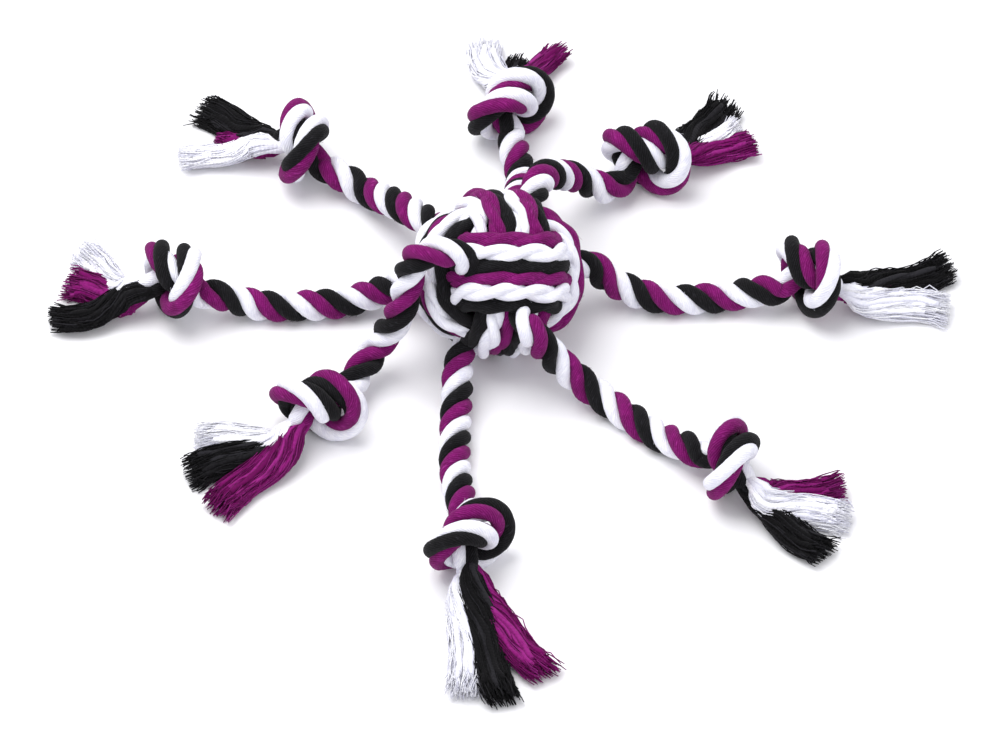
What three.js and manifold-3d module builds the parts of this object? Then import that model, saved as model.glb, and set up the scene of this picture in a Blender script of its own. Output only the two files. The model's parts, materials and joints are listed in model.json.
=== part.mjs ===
// Rope dog toy: a ball plaited from four cotton ropes, whose eight ends run out as arms.
// Each arm carries an overhand knot, and past the knot its three coloured strands are frayed.
// Millimetres, +Z up, the front arm towards -Y. The origin is where the ball rests on the floor.
import * as THREE from 'three';
import { mergeVertices } from 'three/addons/utils/BufferGeometryUtils.js';
import Module from 'manifold-3d';

const wasm = await Module();
wasm.setup();

// Driving dimensions
const ballDiameter = 70;
const ropeDiameter = 13.2;
const armGrid = 100; // the arms and tassels are laid out on a plan grid of this length
const clearance = 0.4; // gap kept between ropes that touch
const liftOff = 1.2; // how far an arm's rope stands off the ball that it leans on
const lockWidth = 15.5; // a frayed strand across its loose end
const lockThickness = 8; // a frayed strand, measured up from the floor

// Shares of the sizes above
const squeezeShare = 0.82; // the rope's width inside a knot, against its free width
const knotFillShare = 0.83; // the part of that width that the knot's tube fills
const restCutShare = 0.1; // how much of its lowest turn's width the ball is flattened
const floorReachShare = 3; // half of the floor block's side, against the grid

// Tessellation
const turnSteps = 36;
const armStepShare = 1.1; // an arm has a step about every rope diameter
const knotSteps = 36;
const lockSteps = 6;
const ropeSides = 10;
const knotSides = 8;
const lockSides = 6;
const coreSides = 20;

const ropeRadius = ropeDiameter / 2;
const knotWidth = squeezeShare * ropeDiameter;
const up = new THREE.Vector3(0, 0, 1);
const right = new THREE.Vector3(1, 0, 0);
const { clamp, degToRad, lerp } = THREE.MathUtils;

const cotton = { roughness: 0.95, metalness: 0 };
const dyes = {
  purple: new THREE.MeshStandardMaterial({ color: 0x8a1272, ...cotton }),
  black: new THREE.MeshStandardMaterial({ color: 0x222423, ...cotton }),
  white: new THREE.MeshStandardMaterial({ color: 0xf2f2f7, ...cotton }),
};

const toy = new THREE.Group();

function addNode(name, solid, dye) {
  const mesh = solid.getMesh();
  const geometry = new THREE.BufferGeometry();
  geometry.setAttribute('position', new THREE.Float32BufferAttribute(mesh.vertProperties, 3));
  geometry.setIndex(new THREE.Uint32BufferAttribute(mesh.triVerts, 1));
  geometry.computeVertexNormals();
  const node = new THREE.Mesh(geometry, dyes[dye]);
  node.name = name;
  toy.add(node);
}

function toSolid(geometry) {
  const bare = geometry.clone();
  bare.deleteAttribute('normal');
  bare.deleteAttribute('uv');
  const merged = mergeVertices(bare);
  return new wasm.Manifold(new wasm.Mesh({
    numProp: 3,
    vertProperties: new Float32Array(merged.attributes.position.array),
    triVerts: new Uint32Array(merged.index.array),
  }));
}

// A smooth line through a rope's points.
function ropeLine(points) {
  const line = new THREE.CatmullRomCurve3(points, false, 'centripetal');
  line.arcLengthDivisions = linePieces;
  return line;
}
const linePieces = 1200;

// Bends a straight rope along a line. Its rows each hold half a width, half a thickness and a
// share of the length. The frames follow the line without turning about it, so nothing twists.
function layAlong(line, rowsOf, sides, steps) {
  const length = line.getLength();
  const rows = rowsOf(length, steps);
  const frames = [];
  let normal = up.clone();
  for (let i = 0; i <= steps; i += 1) {
    const place = line.getPointAt(i / steps);
    const along = line.getTangentAt(i / steps);
    normal = normal.clone().addScaledVector(along, -normal.dot(along)).normalize();
    frames.push({ place, along, normal, side: new THREE.Vector3().crossVectors(along, normal) });
  }
  const outline = rows.map(([width, , share]) => new THREE.Vector2(width, share * length));
  const geometry = new THREE.LatheGeometry(outline, sides);
  const position = geometry.attributes.position;
  const bent = new THREE.Vector3();
  for (let i = 0; i < position.count; i += 1) {
    const [width, thickness] = rows[i % rows.length];
    const share = clamp(position.getY(i) / length, 0, 1);
    const from = Math.min(Math.floor(share * steps), steps - 1);
    const part = share * steps - from;
    const beyond = position.getY(i) - share * length;
    const across = position.getX(i);
    const upwards = width > 0 ? position.getZ(i) * thickness / width : 0;
    const a = frames[from];
    const b = frames[from + 1];
    bent.lerpVectors(a.place, b.place, part).addScaledVector(a.along, beyond)
      .addScaledVector(a.side, across * (1 - part)).addScaledVector(b.side, across * part)
      .addScaledVector(a.normal, upwards * (1 - part)).addScaledVector(b.normal, upwards * part);
    position.setXYZ(i, bent.x, bent.y, bent.z);
  }
  return toSolid(geometry);
}

// The ball is three bands at right angles, each two turns wide. Every band passes outside one
// neighbour and inside the other, so none can come out. A turn is an oval, squared off until it
// clears the two turns that it crosses.
const squareness = 5;
const turnRadius = (ballDiameter / 2 - 2.5 * clearance) / 6;
const turnOffset = turnRadius + clearance / 2;
const shortReach = 3 * turnRadius + 1.5 * clearance;
const longReach = shortReach + 2 * turnRadius + clearance;

// The band across the front leans back to face a viewer above, and is turned a little right.
const viewerDegrees = 47;
const facingRightDegrees = 18;
const towardsViewer = new THREE.Vector3(0, -1, 0).applyAxisAngle(right, -degToRad(viewerDegrees));
const viewerUp = new THREE.Vector3().crossVectors(towardsViewer, right);
const facing = towardsViewer.clone().applyAxisAngle(viewerUp, degToRad(facingRightDegrees));
const across = right.clone().applyAxisAngle(viewerUp, degToRad(facingRightDegrees));
const bands = [
  { name: 'front_band', outer: facing, inner: across, axis: viewerUp, sides: ['upper', 'lower'] },
  { name: 'side_band', outer: across, inner: viewerUp, axis: facing, sides: ['front', 'rear'] },
  { name: 'top_band', outer: viewerUp, inner: facing, axis: across, sides: ['right', 'left'] },
];

class TurnCurve extends THREE.Curve {
  constructor(band, offset) {
    super();
    this.band = band;
    this.offset = offset;
    this.arcLengthDivisions = linePieces;
  }

  getPoint(share, target = new THREE.Vector3()) {
    const squared = (value) => Math.sign(value) * Math.abs(value) ** (2 / squareness);
    const angle = 2 * Math.PI * share;
    return target.set(0, 0, 0)
      .addScaledVector(this.band.outer, longReach * squared(Math.cos(angle)))
      .addScaledVector(this.band.inner, shortReach * squared(Math.sin(angle)))
      .addScaledVector(this.band.axis, this.offset);
  }
}

const turns = bands.flatMap(({ name, sides, ...band }) => sides.map((side, index) => {
  const line = new TurnCurve(band, index === 0 ? turnOffset : -turnOffset);
  return { name: `${name}_${side}_turn`, line, places: line.getSpacedPoints(4 * turnSteps) };
}));

// The ball stands on the lowest of all its turns, which is pressed flat there.
const allPlaces = turns.flatMap((turn) => turn.places);
const lowest = allPlaces.reduce((found, place) => (place.z < found.z ? place : found));
const restCutDepth = restCutShare * 2 * turnRadius;
const ballCentre = new THREE.Vector3(-lowest.x, -lowest.y, turnRadius - restCutDepth - lowest.z);
for (const place of allPlaces) place.add(ballCentre);

const floorSide = 2 * floorReachShare * armGrid;
const floorBlock = toSolid(new THREE.BoxGeometry(floorSide, floorSide, ballDiameter)
  .translate(ballCentre.x, ballCentre.y, -ballDiameter / 2));

const turnDyes = ['white', 'purple', 'black', 'purple', 'black', 'white'];
turns.forEach((turn, index) => {
  const tube = new THREE.TubeGeometry(turn.line, turnSteps, turnRadius, ropeSides, true);
  tube.translate(ballCentre.x, ballCentre.y, ballCentre.z);
  addNode(turn.name, toSolid(tube).subtract(floorBlock), turnDyes[index]);
});

// Inside, the four ropes cross in a lump that the bands hold.
const coreRadius = Math.hypot(shortReach, turnOffset) - turnRadius - clearance;
addNode('inner_crossing', toSolid(new THREE.SphereGeometry(coreRadius, coreSides, coreSides / 2)
  .rotateX(Math.PI / 2).translate(ballCentre.x, ballCentre.y, ballCentre.z)), 'black');

// A loose overhand knot is pulled tight: its ends are drawn apart, while its points keep an even
// spacing and stay a rope's width from each other. It lies along X and is alike from both ends.
// It is pressed short, so that it makes a ring across its rope, as a knot in soft rope does.
// It is tied in a rope one wide, and then takes the size of a knot's rope.
const knotPieces = 64;
const knotRounds = 700;
const knotPasses = 4;
const leadShare = 1.2; // straight run from a knot's middle to its end, in knot widths
const spareShare = 8.2; // rope that a knot takes up, in knot widths
const looseReachShare = 2.15; // how far the loose knot's formula runs either way
const looseShare = 0.55;
const looseRiseShare = 0.45;
const looseLeadShare = 3.3;
const thinShare = 0.3; // the rope starts thin and grows to its width
const growShare = 0.84;
const drawShare = 0.6; // the part of the rounds in which the ends are drawn apart
const nearShare = 1.45; // points nearer than this along the rope don't push each other
const stiffnessShare = 0.12;
const pressShare = 0.015; // each pass presses the knot this much shorter along its rope
const settleShare = 0.01; // and this much flatter
const freePieces = 4; // pieces at each end that the press leaves alone
const easePieces = 8; // and those over which it takes hold

function tieKnot() {
  const tightLength = 2 * leadShare + spareShare;
  const loose = [];
  for (let i = 0; i <= linePieces; i += 1) {
    const t = looseReachShare * (2 * i / linePieces - 1);
    loose.push(new THREE.Vector3(t ** 3 - 3 * t, t ** 4 - 4 * t ** 2, looseRiseShare * (t ** 5 - 10 * t))
      .multiplyScalar(looseShare));
  }
  loose.unshift(new THREE.Vector3(-looseLeadShare, loose[0].y, loose[0].z));
  loose.push(new THREE.Vector3(looseLeadShare, loose.at(-1).y, loose.at(-1).z));
  const looseLine = ropeLine(loose);
  const looseLength = looseLine.getLength();
  const p = looseLine.getSpacedPoints(knotPieces);
  const last = knotPieces;
  const starts = [p[0].clone(), p[last].clone()];
  const ends = [right.clone().multiplyScalar(-leadShare), right.clone().multiplyScalar(leadShare)];
  const push = new THREE.Vector3();
  const keepApart = (i, j, apart, wanted) => {
    push.subVectors(p[j], p[i]).multiplyScalar((wanted - apart) / apart / 2);
    if (i > 1) p[i].sub(push);
    if (j < last - 1) p[j].add(push);
  };
  for (let round = 0; round < knotRounds; round += 1) {
    const share = Math.min(1, round / (drawShare * knotRounds));
    const step = lerp(looseLength, tightLength, share) / knotPieces;
    const keep = Math.min(1, thinShare + growShare * share);
    const skip = Math.ceil(nearShare * keep / step);
    p[0].lerpVectors(starts[0], ends[0], share);
    p[last].lerpVectors(starts[1], ends[1], share);
    p[1].copy(p[0]).addScaledVector(right, step);
    p[last - 1].copy(p[last]).addScaledVector(right, -step);
    for (let pass = 0; pass < knotPasses; pass += 1) {
      for (let i = 2; i < last - 1; i += 1) {
        push.addVectors(p[i - 1], p[i + 1]).multiplyScalar(1 / 2).sub(p[i]);
        p[i].addScaledVector(push, stiffnessShare);
        const held = share * clamp((Math.min(i, last - i) - freePieces) / easePieces, 0, 1);
        p[i].x *= 1 - pressShare * held;
        p[i].z *= 1 - settleShare * held;
      }
      for (let i = 0; i < last; i += 1) keepApart(i, i + 1, p[i].distanceTo(p[i + 1]), step);
      for (let i = 0; i <= last; i += 1) {
        for (let j = i + skip; j <= last; j += 1) {
          const apart = p[i].distanceTo(p[j]);
          if (apart < keep) keepApart(i, j, apart, keep);
        }
      }
      for (let i = 2; i <= last / 2; i += 1) {
        const a = p[i];
        const b = p[last - i];
        a.set((a.x - b.x) / 2, (a.y + b.y) / 2, (a.z - b.z) / 2);
        b.set(-a.x, a.y, -a.z);
      }
    }
  }
  return p;
}

const knotPoints = tieKnot().map((point) => point.multiplyScalar(knotWidth));
const knotTubeRadius = knotFillShare * knotWidth / 2;

function leastGapToItself(points, radius) {
  const line = ropeLine(points);
  const fine = line.getSpacedPoints(4 * points.length);
  const skip = Math.ceil(nearShare * knotWidth * fine.length / line.getLength());
  let least = Infinity;
  for (let i = 0; i < fine.length; i += 1) {
    for (let j = i + skip; j < fine.length; j += 1) least = Math.min(least, fine[i].distanceTo(fine[j]));
  }
  return least - 2 * radius;
}
console.log(`least gap of a knot to itself: ${leastGapToItself(knotPoints, knotTubeRadius).toFixed(2)} mm`);

// The arms, going round from the front. rootShares points from the ball's centre to where the
// arm leaves it. routeShares are the arm's bends on the grid, each with its lift above lying
// flat, and knotShares is its knot's place. lockShares are the loose ends, each with a share of
// the usual width where the strand is narrow.
const arms = [
  { name: 'front', rootShares: [-0.39, -0.76, -0.51],
    routeShares: [[-0.164, -0.467, 0.02], [-0.172, -0.678, 0], [-0.168, -0.88, 0]],
    knotShares: [-0.119, -1.31], headingDegrees: 274, rollDegrees: 262,
    lockShares: { white: [-0.143, -2.06], black: [0.035, -2.10], purple: [0.21, -1.95] } },
  { name: 'front_right', rootShares: [0.33, -0.93, 0.16],
    routeShares: [[0.217, -0.36, 0.18], [0.34, -0.40, 0.055], [0.504, -0.514, 0], [0.668, -0.66, 0]],
    knotShares: [0.935, -0.89], headingDegrees: 319, rollDegrees: 250,
    lockShares: { black: [1.35, -1.28], white: [1.44, -1.10], purple: [1.42, -0.92] } },
  { name: 'right', rootShares: [0.88, 0.39, -0.28],
    routeShares: [[0.463, 0.15, 0.075], [0.60, 0.125, 0.01], [0.75, 0.107, 0], [0.93, 0.123, 0]],
    knotShares: [1.283, 0.12], headingDegrees: 2, rollDegrees: 245,
    lockShares: { black: [1.87, 0.33], purple: [1.62, 0.19, 0.4], white: [1.86, 0.07] } },
  { name: 'rear_right', rootShares: [0.40, 0.83, 0.39],
    routeShares: [[0.19, 0.46, 0.37], [0.25, 0.57, 0.26], [0.34, 0.68, 0.12]],
    knotShares: [0.62, 0.83], headingDegrees: 36, rollDegrees: 265,
    lockShares: { black: [0.955, 1.26], white: [1.0, 1.13, 0.5], purple: [1.07, 1.02] } },
  { name: 'rear', rootShares: [0.15, 0.95, -0.10],
    routeShares: [[0.085, 0.52, 0.17], [0.094, 0.66, 0.07], [0.10, 0.80, 0.01]],
    knotShares: [0.05, 1.12], headingDegrees: 96, rollDegrees: 275,
    lockShares: { white: [-0.05, 1.60], black: [0.09, 1.50, 0.8], purple: [0.27, 1.56] } },
  { name: 'rear_left', rootShares: [-0.60, 0.78, -0.15],
    routeShares: [[-0.336, 0.43, 0.17], [-0.44, 0.58, 0.09], [-0.54, 0.71, 0.01]],
    knotShares: [-0.82, 0.885], headingDegrees: 148, rollDegrees: 290,
    lockShares: { black: [-1.24, 1.22], purple: [-1.17, 1.02, 0.6], white: [-1.32, 0.93] } },
  { name: 'left', rootShares: [-0.88, 0.25, -0.40],
    routeShares: [[-0.50, 0.11, 0.035], [-0.644, 0.09, 0], [-0.80, 0.073, 0], [-0.98, 0.076, 0]],
    knotShares: [-1.332, 0.09], headingDegrees: 177, rollDegrees: 305,
    lockShares: { white: [-1.72, 0.40], purple: [-1.78, 0.22, 0.9], black: [-1.84, 0.03] } },
  { name: 'front_left', rootShares: [-0.29, -0.57, 0.77],
    routeShares: [[-0.19, -0.15, 0.61], [-0.30, -0.245, 0.50], [-0.40, -0.23, 0.27], [-0.49, -0.235, 0.09]],
    knotShares: [-0.74, -0.56], headingDegrees: 228, rollDegrees: 258,
    lockShares: { white: [-1.24, -0.67], black: [-1.27, -0.85], purple: [-1.15, -1.05] } },
];

const onPlan = ([x, y], height = 0) => new THREE.Vector3(
  ballCentre.x + x * armGrid, ballCentre.y + y * armGrid, height);

// A bend that would lie in the ball is pushed out until the rope leans on it.
const leaningReach = ballDiameter / 2 + ropeRadius + clearance + liftOff;
function clearBall(point) {
  const outward = point.clone().sub(ballCentre);
  if (outward.length() < leaningReach) {
    point.copy(ballCentre).addScaledVector(outward.normalize(), leaningReach);
  }
  return point;
}

// An arm's rounded root sits as deep between the turns as the rest of its route lets it.
const rootGap = clearance / 8;
const rootNudge = clearance / 4;
const rootSamples = 60;
function seatRoot(shares, rest) {
  const outward = new THREE.Vector3(...shares).normalize();
  const root = ballCentre.clone();
  let least = 0;
  for (let reach = shortReach; reach < leaningReach && least < rootGap; reach += rootNudge) {
    root.copy(ballCentre).addScaledVector(outward, reach);
    const samples = ropeLine([root, ...rest]).getSpacedPoints(rootSamples);
    least = Infinity;
    for (const sample of samples) {
      for (const place of allPlaces) {
        least = Math.min(least, place.distanceTo(sample) - turnRadius - ropeRadius);
      }
    }
  }
  return root;
}

const domeRows = 3;
function armRows(length, steps) {
  const rows = [[0, 0, -ropeRadius / length]];
  for (let i = 1; i < domeRows; i += 1) {
    const angle = (Math.PI / 2) * (i / domeRows);
    const radius = ropeRadius * Math.sin(angle);
    rows.push([radius, radius, -ropeRadius * Math.cos(angle) / length]);
  }
  for (let i = 0; i <= steps; i += 1) rows.push([ropeRadius, ropeRadius, i / steps]);
  rows.push([0, 0, 1]);
  return rows;
}

function knotRows(length, steps) {
  const rows = [[0, 0, 0]];
  for (let i = 0; i <= steps; i += 1) rows.push([knotTubeRadius, knotTubeRadius, i / steps]);
  rows.push([0, 0, 1]);
  return rows;
}

// A frayed strand starts as a third of the knot's end, spreads and flattens, and ends bluntly.
const bluntShare = 0.75;
const lockPitch = ropeDiameter / 3;
function lockRows(endWidth, growth) {
  return (length, steps) => {
    const rows = [[0, 0, 0]];
    for (let i = 0; i <= steps; i += 1) {
      const share = i / steps;
      const blunt = i === steps ? bluntShare : 1;
      const width = lerp(lockPitch - clearance, endWidth, Math.sqrt(share)) / 2;
      const thickness = lerp(knotTubeRadius, lockThickness / 2, Math.sqrt(share));
      rows.push([blunt * (width + growth), blunt * (thickness + growth), share]);
    }
    rows.push([0, 0, 1]);
    return rows;
  };
}

const turnAwayShare = 0.18; // where a frayed strand turns out of the knot's line
const middleShare = 0.5;
const dropShare = 0.35;
function addLocks(arm, exit, heading) {
  const sideways = new THREE.Vector3().crossVectors(up, heading);
  const lieCentre = (lockThickness + clearance) / 2;
  const locks = Object.entries(arm.lockShares).map(([dye, share]) => {
    const tip = onPlan(share, lieCentre);
    const [, , widthShare = 1] = share;
    return { dye, tip, width: lockWidth * widthShare, aside: tip.clone().sub(exit).dot(sideways) };
  });
  locks.sort((a, b) => a.aside - b.aside);
  locks.forEach((lock, index) => {
    const start = exit.clone().addScaledVector(heading, clearance)
      .addScaledVector(sideways, (index - 1) * lockPitch);
    const straight = start.clone().addScaledVector(heading, ropeRadius / 2);
    const turnAway = turnAwayShare * lock.tip.distanceTo(start);
    const lead = start.clone().addScaledVector(heading, turnAway);
    lead.z = lerp(start.z, lieCentre, dropShare);
    const middle = new THREE.Vector3().lerpVectors(start, lock.tip, middleShare)
      .addScaledVector(heading, turnAway / 3);
    middle.z = lieCentre + dropShare * (knotTubeRadius - lockThickness / 2);
    const line = ropeLine([start, straight, lead, middle, lock.tip]);
    lock.solid = layAlong(line, lockRows(lock.width, 0), lockSides, lockSteps).subtract(floorBlock);
    lock.grown = layAlong(line, lockRows(lock.width, clearance), lockSides, lockSteps);
  });
  // The middle strand fills what the outer two leave.
  locks[1].solid = locks[1].solid.subtract(locks[0].grown).subtract(locks[2].grown);
  for (const lock of locks) addNode(`${arm.name}_${lock.dye}_lock`, lock.solid, lock.dye);
}

const lieHeight = ropeRadius + clearance / 2;
for (const arm of arms) {
  const heading = right.clone().applyAxisAngle(up, degToRad(arm.headingDegrees));
  const sideways = new THREE.Vector3().crossVectors(up, heading);
  const turned = new THREE.Matrix4().makeBasis(heading, sideways, up)
    .multiply(new THREE.Matrix4().makeRotationX(degToRad(arm.rollDegrees)));
  const knot = knotPoints.map((point) => point.clone().applyMatrix4(turned));
  const underside = Math.min(...knot.map((point) => point.z)) - knotTubeRadius;
  const knotPlace = onPlan(arm.knotShares, clearance / 2 - underside);
  for (const point of knot) point.add(knotPlace);
  const knotSolid = layAlong(ropeLine(knot), knotRows, knotSides, knotSteps);
  addNode(`${arm.name}_knot`, knotSolid.subtract(floorBlock), 'purple');

  const entry = knot[0].clone().addScaledVector(heading, -clearance);
  const bends = arm.routeShares.map(
    ([x, y, lift]) => clearBall(onPlan([x, y], lieHeight + lift * armGrid)));
  const rest = [...bends, entry.clone().addScaledVector(heading, -ropeRadius), entry];
  const root = seatRoot(arm.rootShares, rest);
  const line = ropeLine([root, ...rest]);
  const armSteps = Math.round(line.getLength() / (armStepShare * ropeDiameter));
  const armSolid = layAlong(line, armRows, ropeSides, armSteps);
  addNode(`${arm.name}_arm_rope`, armSolid.subtract(floorBlock), 'black');
  addLocks(arm, knot.at(-1), heading);
  const inWords = (point) => point.toArray().map((value) => value.toFixed(1)).join(' ');
  console.log(`${arm.name}: root at ${inWords(root)}, knot at ${inWords(knotPlace)},`
    + ` arm ${line.getLength().toFixed(0)} mm`);
}

export default toy;
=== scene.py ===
import json
import math
import random

import bpy
import numpy as np
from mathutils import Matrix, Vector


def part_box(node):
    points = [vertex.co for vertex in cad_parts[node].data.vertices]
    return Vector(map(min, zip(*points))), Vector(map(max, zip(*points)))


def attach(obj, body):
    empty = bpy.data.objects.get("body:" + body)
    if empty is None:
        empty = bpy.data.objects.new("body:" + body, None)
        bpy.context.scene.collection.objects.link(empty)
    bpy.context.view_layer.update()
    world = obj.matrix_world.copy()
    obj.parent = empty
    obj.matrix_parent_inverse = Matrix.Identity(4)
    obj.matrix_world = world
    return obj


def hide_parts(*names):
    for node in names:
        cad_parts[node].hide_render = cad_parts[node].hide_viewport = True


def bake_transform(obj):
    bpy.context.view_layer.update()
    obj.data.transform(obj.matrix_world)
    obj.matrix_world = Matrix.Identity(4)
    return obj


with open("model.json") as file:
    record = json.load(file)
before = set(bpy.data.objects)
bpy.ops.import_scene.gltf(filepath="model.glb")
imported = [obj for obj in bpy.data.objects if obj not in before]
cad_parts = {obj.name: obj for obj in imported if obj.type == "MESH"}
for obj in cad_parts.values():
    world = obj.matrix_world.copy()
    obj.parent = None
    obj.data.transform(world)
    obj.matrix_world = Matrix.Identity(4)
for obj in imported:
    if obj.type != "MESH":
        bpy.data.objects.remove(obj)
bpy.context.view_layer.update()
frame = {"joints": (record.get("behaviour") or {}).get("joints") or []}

bpy.ops.object.select_all(action="DESELECT")

# Rope dog toy. Lengths are in mm and become metres when a mesh is made.
toy = {
    "ballDiameter": 70.0,
    "ropeDiameter": 13.2,
    "armGrid": 100.0,
    "clearance": 0.4,
    "liftOff": 1.2,
    "lockWidth": 15.5,
    "lockThickness": 8.0,
    "squeezeShare": 0.82,
    "knotFillShare": 0.83,
}
ropeRadius = toy["ropeDiameter"] / 2
knotWidth = toy["squeezeShare"] * toy["ropeDiameter"]
knotTubeRadius = toy["knotFillShare"] * knotWidth / 2
lieHeight = ropeRadius + toy["clearance"] / 2
millimetre = 0.001
up = np.array([0.0, 0.0, 1.0])
right = np.array([1.0, 0.0, 0.0])

# The ball's middle is the middle of the lump that its bands hold.
crossingLow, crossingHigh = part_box("inner_crossing")
ballCentre = (np.array(crossingLow) + np.array(crossingHigh)) / 2 / millimetre
roots = {joint["child"]: np.array(joint["pos_m"]) / millimetre for joint in frame["joints"]}

# The photo looks down at 47 degrees through a long lens: 1000 pixels are 410 mm at the toy.
view = {"elevation": 47.0, "distance": 8.0, "widthMm": 410.0, "asideMm": 1.2, "nearerMm": 20.2,
        "pixelsWide": 1000, "pixelsHigh": 732, "sensorMm": 36.0, "clipEnd": 20.0}
viewTilt = math.radians(view["elevation"])
towardsViewer = np.array([0.0, -math.cos(viewTilt), math.sin(viewTilt)])


def placeCamera():
    camera = bpy.data.cameras.new("photoCamera")
    camera.sensor_width = view["sensorMm"]
    camera.lens = camera.sensor_width * view["distance"] / (view["widthMm"] * millimetre)
    camera.clip_end = view["clipEnd"]
    holder = bpy.data.objects.new("photoCamera", camera)
    bpy.context.scene.collection.objects.link(holder)
    aim = np.array([ballCentre[0] + view["asideMm"], ballCentre[1] - view["nearerMm"], 0.0]) * millimetre
    holder.location = aim + towardsViewer * view["distance"]
    holder.rotation_euler = (math.pi / 2 - viewTilt, 0.0, 0.0)
    bpy.context.scene.camera = holder
    bpy.context.scene.view_settings.view_transform = "Standard"


# The pixels of the photo on which points of the toy fall.
def inPhoto(points):
    pixelMm = view["widthMm"] / view["pixelsWide"]
    rightward = points[:, 0] - ballCentre[0] - view["asideMm"]
    farther = points[:, 1] - ballCentre[1] + view["nearerMm"]
    upward = farther * math.sin(viewTilt) + points[:, 2] * math.cos(viewTilt)
    middle = np.array([view["pixelsWide"], view["pixelsHigh"]]) / 2
    return middle + np.stack([rightward, -upward], axis=1) / pixelMm


# sRGB hex to linear colour
def dye(hexCode):
    shares = [int(hexCode[i:i + 2], 16) / 255 for i in (1, 3, 5)]
    linear = [s / 12.92 if s <= 0.04045 else ((s + 0.055) / 1.055) ** 2.4 for s in shares]
    return (*linear, 1.0)


# A white sweep lit evenly from the room, with a large softbox above and a weak one in front.
light = {
    "worldStrength": 0.88, "worldColour": "#F3F3F8",
    "floorSize": 12.0, "floorRoughness": 0.95, "floorColour": "#F4F4F5",
    "lamps": {"softboxAbove": {"place": (-0.35, 0.15, 1.1), "power": 12.0, "size": 0.9},
              "softboxFront": {"place": (0.7, -0.9, 0.9), "power": 3.0, "size": 1.0}},
}


def lightStudio():
    floorMaterial = bpy.data.materials.new("paleStudioFloor")
    floorMaterial.use_nodes = True
    shader = floorMaterial.node_tree.nodes["Principled BSDF"]
    shader.inputs["Base Color"].default_value = dye(light["floorColour"])
    shader.inputs["Roughness"].default_value = light["floorRoughness"]
    bpy.ops.mesh.primitive_plane_add(size=light["floorSize"], location=(0.0, 0.0, 0.0))
    floor = bpy.context.object
    floor.name = "studioFloor"
    floor.data.materials.append(floorMaterial)
    world = bpy.data.worlds.new("softRoom")
    world.use_nodes = True
    background = world.node_tree.nodes["Background"]
    background.inputs["Color"].default_value = dye(light["worldColour"])
    background.inputs["Strength"].default_value = light["worldStrength"]
    bpy.context.scene.world = world
    for name, softbox in light["lamps"].items():
        lamp = bpy.data.lights.new(name, "AREA")
        lamp.energy = softbox["power"]
        lamp.size = softbox["size"]
        holder = bpy.data.objects.new(name, lamp)
        bpy.context.scene.collection.objects.link(holder)
        holder.location = softbox["place"]
        x, y, z = softbox["place"]
        holder.rotation_euler = (math.atan2(math.hypot(x, y), z), 0.0, math.atan2(-y, -x) - math.pi / 2)


placeCamera()
lightStudio()
print("camera, floor and light are placed")


# Adds a node with its settings, and links or sets its inputs.
def addNode(tree, kind, settings, inputs):
    node = tree.nodes.new(kind)
    for name, value in settings.items():
        setattr(node, name, value)
    for name, value in inputs.items():
        if isinstance(value, bpy.types.NodeSocket):
            tree.links.new(value, node.inputs[name])
        else:
            node.inputs[name].default_value = value
    return node


def mathNode(tree, operation, *values):
    return addNode(tree, "ShaderNodeMath", {"operation": operation}, dict(enumerate(values))).outputs[0]


# The two amounts of detail in a noise.
softNoise = 2.0
fineNoise = 3.0


def noiseNode(tree, place, scale, detail):
    return addNode(tree, "ShaderNodeTexNoise", {}, {
        "Vector": place, "Scale": scale, "Detail": detail}).outputs["Fac"]


# Brings a value that runs between two limits to a share from 0 to most.
def shareNode(tree, value, limits, most=1.0):
    return addNode(tree, "ShaderNodeMapRange", {}, {
        "Value": value, "From Min": limits[0], "From Max": limits[1], "To Max": most}).outputs[0]


# The colours of a Mix node are its inputs 6 and 7 and its output 2.
def mixNode(tree, share, first, second):
    return addNode(tree, "ShaderNodeMix", {"data_type": "RGBA"}, {0: share, 6: first, 7: second}).outputs[2]


def perMm(size):
    return 1 / (size * millimetre)


# Dyed cotton yarn, ring spun and matt. A strand is many yarns twisted against the rope's lay,
# so fine slanting grooves cross it. The dye is uneven, with pale flecks, and the pale colour is also
# laid on the yarn crests as a painted highlight, which leaves painted shade in the grooves between them.
cottonDyes = {
    "purple": {"deep": "#5C0448", "full": "#76095F", "paleAndHighlight": "#A93A94"},
    "black": {"deep": "#070708", "full": "#111012", "paleAndHighlight": "#333237"},
    "white": {"deep": "#DCDCEA", "full": "#F4F4FA", "paleAndHighlight": "#FDFDFF"},
}
grooves = {
    "around": 17.0, "perHundredMm": 56.0, "depthMm": 0.22, "bumpStrength": 0.38,
    "wobbleMm": 3.0, "wobbleTurns": 1.1, "fibreMm": 0.5, "fibreShare": 1.6, "mottleMm": 5.0,
    "streaksPerHundredMm": 28.0, "streakScale": 1.3, "unevenLimits": (0.72, 1.28),
    # Next to the limits of the uneven dye and the pale flecks: how far the pale colour spreads over the
    # yarn crests as a painted highlight.
    "paleAndHighlightLimits": (0.3, 1.3), "paleAndHighlightMost": 0.4, "fleckLimits": (0.62, 0.74), "fleckMost": 0.75,
    "surface": {"Roughness": 0.92, "Specular IOR Level": 0.14, "Sheen Weight": 0.04,
                "Sheen Roughness": 0.5},
}
# Loose cotton yarn, spun from two plies. Each yarn takes the dye a little differently.
spinning = {
    "plies": 2.0, "turnsPerHundredMm": 60.0, "fibreMm": 1.2, "fibreShare": 0.5, "depthMm": 0.1,
    "bumpStrength": 0.5, "unevenLimits": (0.2, 0.9), "paleAndHighlightLimits": (0.8, 1.4), "paleAndHighlightMost": 0.7,
    "surface": {"Roughness": 0.95, "Specular IOR Level": 0.14, "Sheen Weight": 0.03},
}


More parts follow.
